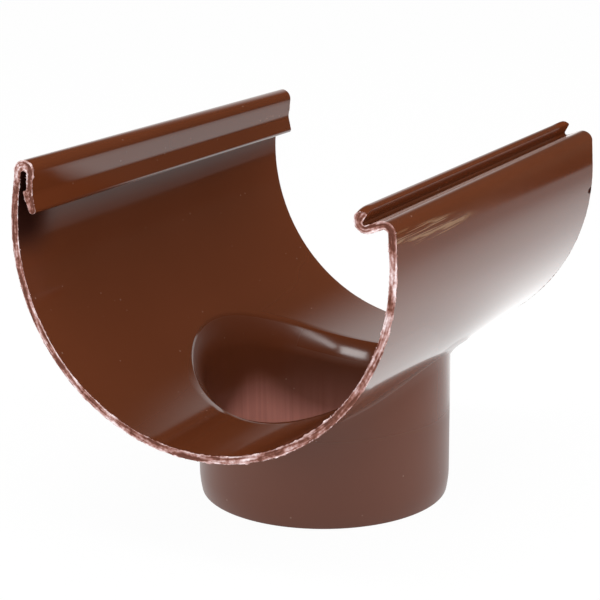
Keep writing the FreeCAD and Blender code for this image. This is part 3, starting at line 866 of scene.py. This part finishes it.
def burrTree(material):
    # a ragged bead along an outline, with loose chips standing off it
    tree = GrowthTree("sawnBurr", burrs["inputs"])
    ins = tree.ins
    curve = tree.add("GeometryNodeMeshToCurve", {"Mesh": ins["Geometry"]})
    fine, sparse = (tree.add("GeometryNodeResampleCurve", {"Curve": curve, "Length": ins[label]}, mode="LENGTH")
                    for label in ("Spacing", "Chip Spacing"))
    amount = tree.attribute("amount")
    place = tree.add("GeometryNodeInputPosition")
    swell = tree.add("ShaderNodeTexNoise", {"Vector": place, "Scale": burrs["swellScale"],
                                            "Detail": burrs["swellDetail"], "Roughness": burrs["swellRoughness"]})
    lift = ((tree.value(swell.outputs[0]) - burrs["swellFrom"]) * burrs["swellSteep"] | 0.0) & 1.0
    radius = lift * ins["Bead"] * amount + burrs["leastBead"]
    shake = tree.add("ShaderNodeTexNoise", {"Vector": place, "Scale": burrs["shakeScale"],
                                            "Detail": burrs["shakeDetail"]})
    centred = tree.add("ShaderNodeVectorMath", (shake.outputs[1], (0.5, 0.5, 0.5)), operation="SUBTRACT")
    shift = tree.add("ShaderNodeVectorMath", {
        0: centred, "Scale": tree.value(ins["Ragged"]) * amount * burrs["shake"]}, operation="SCALE")
    moved = tree.add("GeometryNodeSetPosition", {"Geometry": fine, "Offset": shift})
    sized = tree.add("GeometryNodeSetCurveRadius", {"Curve": moved, "Radius": radius})
    ring = tree.add("GeometryNodeCurvePrimitiveCircle", {"Resolution": burrs["beadSides"], "Radius": 1.0})
    bead = tree.add("GeometryNodeCurveToMesh", {"Curve": sized, 1: ring, "Scale": radius})
    # chips
    points = tree.add("GeometryNodeCurveToPoints", {"Curve": sparse}, mode="EVALUATED")
    keep = tree.add("FunctionNodeRandomValue", {"Seed": ins["Seed"]}, data_type="FLOAT")
    chance = [socket for socket in keep.outputs if socket.type == "VALUE"][0]
    few = tree.add("FunctionNodeCompare", {"A": chance, "B": amount * burrs["chipShare"]},
                   data_type="FLOAT", operation="LESS_THAN")
    cone = tree.add("GeometryNodeMeshIcoSphere", {"Radius": 1.0, "Subdivisions": 1})
    chips = tree.add("GeometryNodeInstanceOnPoints", {
        "Points": points, "Selection": few, "Instance": cone,
        "Rotation": tree.randomVector((0, 0, 0), (burrs["fullTurn"],) * 3, burrs["turnSeed"]),
        "Scale": tree.randomSize(burrs["chipLow"], burrs["chipHigh"], burrs["sizeSeed"], ins["Chip"])})
    both = tree.add("GeometryNodeJoinGeometry")
    for geometry in (bead, chips):
        feed(tree.tree, both, (geometry,))
    tree.finish(both, material)
    return tree


def keepAmounts(mesh, name, amounts):
    layer = mesh.attributes.new(name, "FLOAT", "POINT")
    layer.data.foreach_set("value", np.array(amounts, np.float32))


def outlineMesh(name, loops):
    # closed loops of points with how strongly each place is torn
    points, edges, amounts = [], [], []
    for loop, strength in loops:
        first = len(points)
        points += [tuple(point * mm) for point in loop]
        amounts += list(strength)
        edges += [(first + i, first + (i + 1) % len(loop)) for i in range(len(loop))]
    mesh = bpy.data.meshes.new(name)
    mesh.from_pydata(points, edges, [])
    keepAmounts(mesh, "amount", amounts)
    return mesh


def sawnLoop(side):
    # the whole outline of one sawn end, a hair inside the face; most torn along the bottom and up the back wall
    loop = chain([outerCut, innerCut[::-1]])[:-1]
    points = placed(loop, side * (halfLength - burrs["inset"]))
    x, z = loop.T
    turn = np.degrees(np.arctan2(x, -z))
    off = (turn - burrs["mostTornAt"]) / burrs["tornSpread"]
    torn = burrs["leastTorn"] + burrs["moreTorn"] * np.exp(-off ** 2)
    for strength, left, right, low, high in burrs["tornPlaces"]:
        torn = np.where((x > left) & (x < right) & (z > low) & (z < high), strength, torn)
    return points, torn * (1.0 if side < 0 else burrs["farShare"])


def addBurrs():
    mesh = outlineMesh("sawnOutlines", [sawnLoop(-1), sawnLoop(1)])
    grow("sawnBurrs", mesh, burrTree(loosePlastic("burrPlastic", burrFinish)))


dust = {
    "inputs": {"Density": 9000.0, "Grain": 0.00009, "Seed": 4},
    "grainLow": (0.4, 0.4, 0.3), "grainHigh": (1.5, 1.2, 0.7), "grainSeed": 9,
    # how much dust lies where, in millimetres from the spigot's axis and above the saddle's
    "everywhere": 0.10, "bore": 0.05, "boreReach": 46, "boreTop": 28, "cleanEnds": 0.5,
    # the lip's channel and the bead's crown: amount, from and to across, from and to above the axis
    "places": ((3.2, 55, 66.5, 11.5, 16.5), (0.7, -math.inf, -58, 15, 23)),
    # the crease round the spigot: amount, width, and how far towards the bead it goes
    "crease": (0.9, 1.2, -5),
}


def dustTree(material):
    tree = GrowthTree("dustOnFaces", dust["inputs"])
    ins = tree.ins
    scatter = tree.add("GeometryNodeDistributePointsOnFaces", {
        "Mesh": ins["Geometry"], "Density": tree.attribute("dusty") * ins["Density"], "Seed": ins["Seed"]})
    grain = tree.add("GeometryNodeMeshIcoSphere", {"Radius": 1.0, "Subdivisions": 1})
    grains = tree.add("GeometryNodeInstanceOnPoints", {
        "Points": scatter, "Instance": grain, "Rotation": scatter.outputs["Rotation"],
        "Scale": tree.randomSize(dust["grainLow"], dust["grainHigh"], dust["grainSeed"], ins["Grain"])})
    tree.finish(grains, material)
    return tree


def dustAt(points):
    x, y, z = points.T
    height, reach = z - axisHeight, np.hypot(x, y)
    dusty = np.full(len(points), dust["everywhere"])
    for amount, left, right, low, high in dust["places"]:
        dusty += amount * ((x > left) & (x < right) & (height > low) & (height < high))
    boreReach, boreTop = dust["boreReach"], dust["boreTop"]
    amount, width, left = dust["crease"]
    dusty += amount * (np.exp(-((reach - boreReach) / width) ** 2) * (z > boreTop) * (x > left))
    dusty[(reach < boreReach) & (z < boreTop)] = dust["bore"]
    dusty[np.abs(y) > halfLength - dust["cleanEnds"]] = 0
    return dusty


def addDust():
    mesh = outletShell.data.copy()
    mesh.materials.clear()
    points = np.zeros(len(mesh.vertices) * 3)
    mesh.vertices.foreach_get("co", points)
    keepAmounts(mesh, "dusty", dustAt(points.reshape(-1, 3) / mm))
    grow("dustSpecks", mesh, dustTree(loosePlastic("dustGrain", dustFinish)))


addBurrs()
addDust()

# studio
studio = {
    "position": (275.1, -541.1, 229.8),   # millimetres
    "azimuth": 27.73, "elevation": 14.84, "roll": -0.49,
    "lens": 106.62, "sensor": 36, "clipStart": 0.01,
    "ambient": 0.82,
    # place, long axis, size and power of each softbox, and where all of them aim
    "softboxes": (((0.06, -0.44, 1.25), (1, 0.1, 0), (0.62, 0.36), 6.0),
                  ((0.98, 0.16, 1.22), (1, 1, 0), (1.6, 0.26), 8.5),
                  ((-1.15, -1.15, 0.45), (1, -1, 0), (1.2, 0.7), 13.5),
                  ((1.5, 0.15, 0.22), (0, 1, 0), (0.9, 0.36), 3.5)),
    "aim": (0, 0, 0.07),
    "tableColour": (0.92, 0.92, 0.92), "tableHalf": 6.0, "tableDrop": 0.0002,
    "roomGrey": (0.10, 0.06, 0.04),
    "backPale": (0.87, 0.84, 0.83),
    "boreShade": (0.14, 0.07, 0.05), "boreReach": 0.0425, "boreSides": 48,
    "tableShadow": (0.01, 0.008, 0.006),
    # the room that the gloss reflects: half its width, its height and far ends, then the cards' places in it
    "side": 1.8, "ceiling": 1.7, "roomEnd": 0.9, "topEnd": 2.3, "backPlace": 0.4, "backFoot": 0.14,
    "behindFrom": 0.2, "behindTop": 0.5, "wallFoot": 0.1, "leftFoot": 0.3,
    "lift": 0.001,                   # the lowest card's double height over the table
    "backFade": (0.0, -0.14),        # where the pale backdrop starts to fade in behind the outlet, and is whole
    "backTop": (0.44, 0.24),         # the heights between which it fades out upwards
    "tableEdge": ((0.36, 0.0), (0.345, 0.40), (0.335, 0.47), (0.322, 0.57), (0.295, 0.67), (0.27, 0.76),
                  (0.25, 0.9)),
    "darkEdge": ((0.31, 0.62), (0.295, 0.67), (0.27, 0.76), (0.26, 0.9), (0.33, 0.9), (0.33, 0.76), (0.335, 0.67),
                 (0.34, 0.62)),
    "tableGlow": ((0.085, -0.1), (0.36, -0.1), (0.36, 0.9), (-0.05, 0.9), (-0.05, 0.1), (0.085, 0.1)),
    "tablePale": 0.965, "tableNear": 1.35,   # the table's glow, and the same close to the outlet
    "tableFade": (0.10, 0.38, 0.33),   # where the table's glow starts and stops to fade, and how dim it gets
    "tableSlant": 0.12,                # how much the fade's line turns with the distance along
    "tableBend": (0.30, 0.6),          # from where and how strongly that line bends away
    "nearEdge": (0.17, 0.04), "nearAlong": (0.10, 0.20), "nearAcross": (-0.05, 0.01),
}


def addCamera():
    azimuth, elevation, roll = (math.radians(studio[k]) for k in ("azimuth", "elevation", "roll"))
    forward = Vector((-math.sin(azimuth) * math.cos(elevation), math.cos(azimuth) * math.cos(elevation),
                      -math.sin(elevation)))
    right = forward.cross(Vector((0, 0, 1))).normalized()
    up = right.cross(forward)
    turned = right * math.cos(roll) + up * math.sin(roll)
    lifted = up * math.cos(roll) - right * math.sin(roll)
    facing = Matrix((turned, lifted, -forward)).transposed()
    data = bpy.data.cameras.new("camera")
    data.lens, data.sensor_width, data.clip_start = (studio[k] for k in ("lens", "sensor", "clipStart"))
    data.sensor_fit = "HORIZONTAL"
    camera = newObject("camera", data)
    camera.matrix_world = Matrix.Translation(Vector(studio["position"]) * mm) @ facing.to_4x4()
    bpy.context.scene.camera = camera


def addSoftbox(name, place, longAxis, size, power):
    data = bpy.data.lights.new(name, "AREA")
    data.shape = "RECTANGLE"
    data.size, data.size_y = size
    data.energy = power
    back = (Vector(place) - Vector(studio["aim"])).normalized()
    across = back.cross(Vector(longAxis)).normalized()
    facing = Matrix((across.cross(back), across, back)).transposed()
    newObject(name, data).matrix_world = Matrix.Translation(place) @ facing.to_4x4()


def plane(name, corners, material):
    mesh = bpy.data.meshes.new(name)
    mesh.from_pydata(corners, [], [list(range(len(corners)))])
    mesh.materials.append(material)
    piece = newObject(name, mesh)
    return piece


def seenWhite(tree):
    # 1 for rays of the camera, of gloss and of glass, 0 for the light that falls on things
    path = tree.nodes.new("ShaderNodeLightPath").outputs
    return Value(tree, path["Is Camera Ray"]) | path["Is Glossy Ray"] | path["Is Transmission Ray"]


def addWorld():
    world = bpy.data.worlds.new("world")
    bpy.context.scene.world = world
    tree, mix = freshTree(world, "ShaderNodeOutputWorld", "ShaderNodeMixShader")
    soft = addNode(tree, "ShaderNodeBackground", {"Strength": studio["ambient"]})
    feed(tree, mix, (seenWhite(tree), soft, tree.nodes.new("ShaderNodeBackground")))


def floorMaterial():
    material, tree, mix = newMaterial("whiteTable", "ShaderNodeMixShader")
    matte = addNode(tree, "ShaderNodeBsdfDiffuse", {"Color": (*studio["tableColour"], 1)})
    feed(tree, mix, (seenWhite(tree) * studio["tablePale"], matte, tree.nodes.new("ShaderNodeEmission")))
    return material


def cardMaterial(name, colour):
    material, tree, glow = newMaterial(name, "ShaderNodeEmission")
    glow.inputs["Color"].default_value = (*colour, 1)
    return material


def fadingCard():
    # the white table gets dimmer towards its edge
    start, stop, dim = studio["tableFade"]
    bendFrom, bend = studio["tableBend"]
    pale = studio["tablePale"]
    material, tree, glow = newMaterial("tableFade", "ShaderNodeEmission")
    x, y, z = axesOf(tree, objectPlace(tree))
    beyond = (y - bendFrom) | 0.0
    slant = x + y * studio["tableSlant"] + beyond * beyond * bend
    near = slant.band(*studio["nearEdge"]) * (studio["tableNear"] - pale)
    near = near * (y.band(*studio["nearAlong"]) * x.band(*studio["nearAcross"]))
    feed(tree, glow, {"Color": (1, 1, 1, 1), "Strength": slant.band(stop, start) * (pale - dim) + dim + near})
    return material


def backdropCard():
    # the dim room gives way to the pale backdrop towards the left
    material, tree, glow = newMaterial("backdropFade", "ShaderNodeEmission")
    x, y, z = axesOf(tree, objectPlace(tree))
    pale = x.band(*studio["backFade"]) * z.band(*studio["backTop"])
    feed(tree, glow, {"Color": blendColour(tree, pale, studio["roomGrey"], studio["backPale"])})
    return material


def addCard(name, corners, material):
    # a studio card that shows only as a reflection in the gloss
    card = plane(name, corners, material)
    card.visible_camera = card.visible_diffuse = card.visible_shadow = card.visible_transmission = False


def upright(start, end, low, high):
    # the corners of a card that stands on a line over the table
    return [(*start, low), (*end, low), (*end, high), (*start, high)]


def flat(points, height):
    return [(x, y, height) for x, y in points]


def level(half, far, height):
    # the corners of a sheet from half its width before the outlet to far behind it
    return flat(((-half, -half), (half, -half), (half, far), (-half, far)), height)


def addStudio():
    half = studio["tableHalf"]
    plane("table", level(half, half, cadLow[2] - studio["tableDrop"]), floorMaterial())
    room = cardMaterial("dimRoom", studio["roomGrey"])
    side, top, end, lift = (studio[k] for k in ("side", "ceiling", "roomEnd", "lift"))
    edge, backPlace, backFoot = studio["tableEdge"], studio["backPlace"], studio["backFoot"]
    fade, wallFoot = studio["backFade"][0], studio["wallFoot"]
    turns = [2 * math.pi * step / studio["boreSides"] for step in range(studio["boreSides"])]
    bore = [(studio["boreReach"] * math.cos(turn), studio["boreReach"] * math.sin(turn)) for turn in turns]
    for name, corners, material in (
            ("cardTable", flat(studio["tableGlow"], lift / 2), fadingCard()),
            ("cardBeside", flat(edge + ((side, edge[-1][1]), (side, 0)), lift), room),
            ("cardEdge", flat(studio["darkEdge"], lift * 2), cardMaterial("tableShadow", studio["tableShadow"])),
            ("cardBehind", upright((studio["behindFrom"], end), (side, end), 0, studio["behindTop"]), room),
            ("cardBack", upright((fade, backPlace), (side, backPlace), backFoot, top), room),
            ("cardFade", upright((-side, backPlace), (fade, backPlace), backFoot, top), backdropCard()),
            ("cardBore", flat(bore, lift / 2), cardMaterial("boreShade", studio["boreShade"])),
            ("cardRight", upright((side, -side), (side, end), wallFoot, top), room),
            ("cardTop", level(side, studio["topEnd"], top), room),
            ("cardNear", upright((-side, -side), (side, -side), wallFoot, top), room),
            ("cardLeft", upright((-side, -side), (-side, side), studio["leftFoot"], top), room)):
        addCard(name, corners, material)
    for index, box in enumerate(studio["softboxes"]):
        addSoftbox(f"softbox{index + 1}", *box)
    addWorld()
    addCamera()
    bpy.context.scene.view_settings.view_transform = "Standard"


addStudio()
print("studio done")
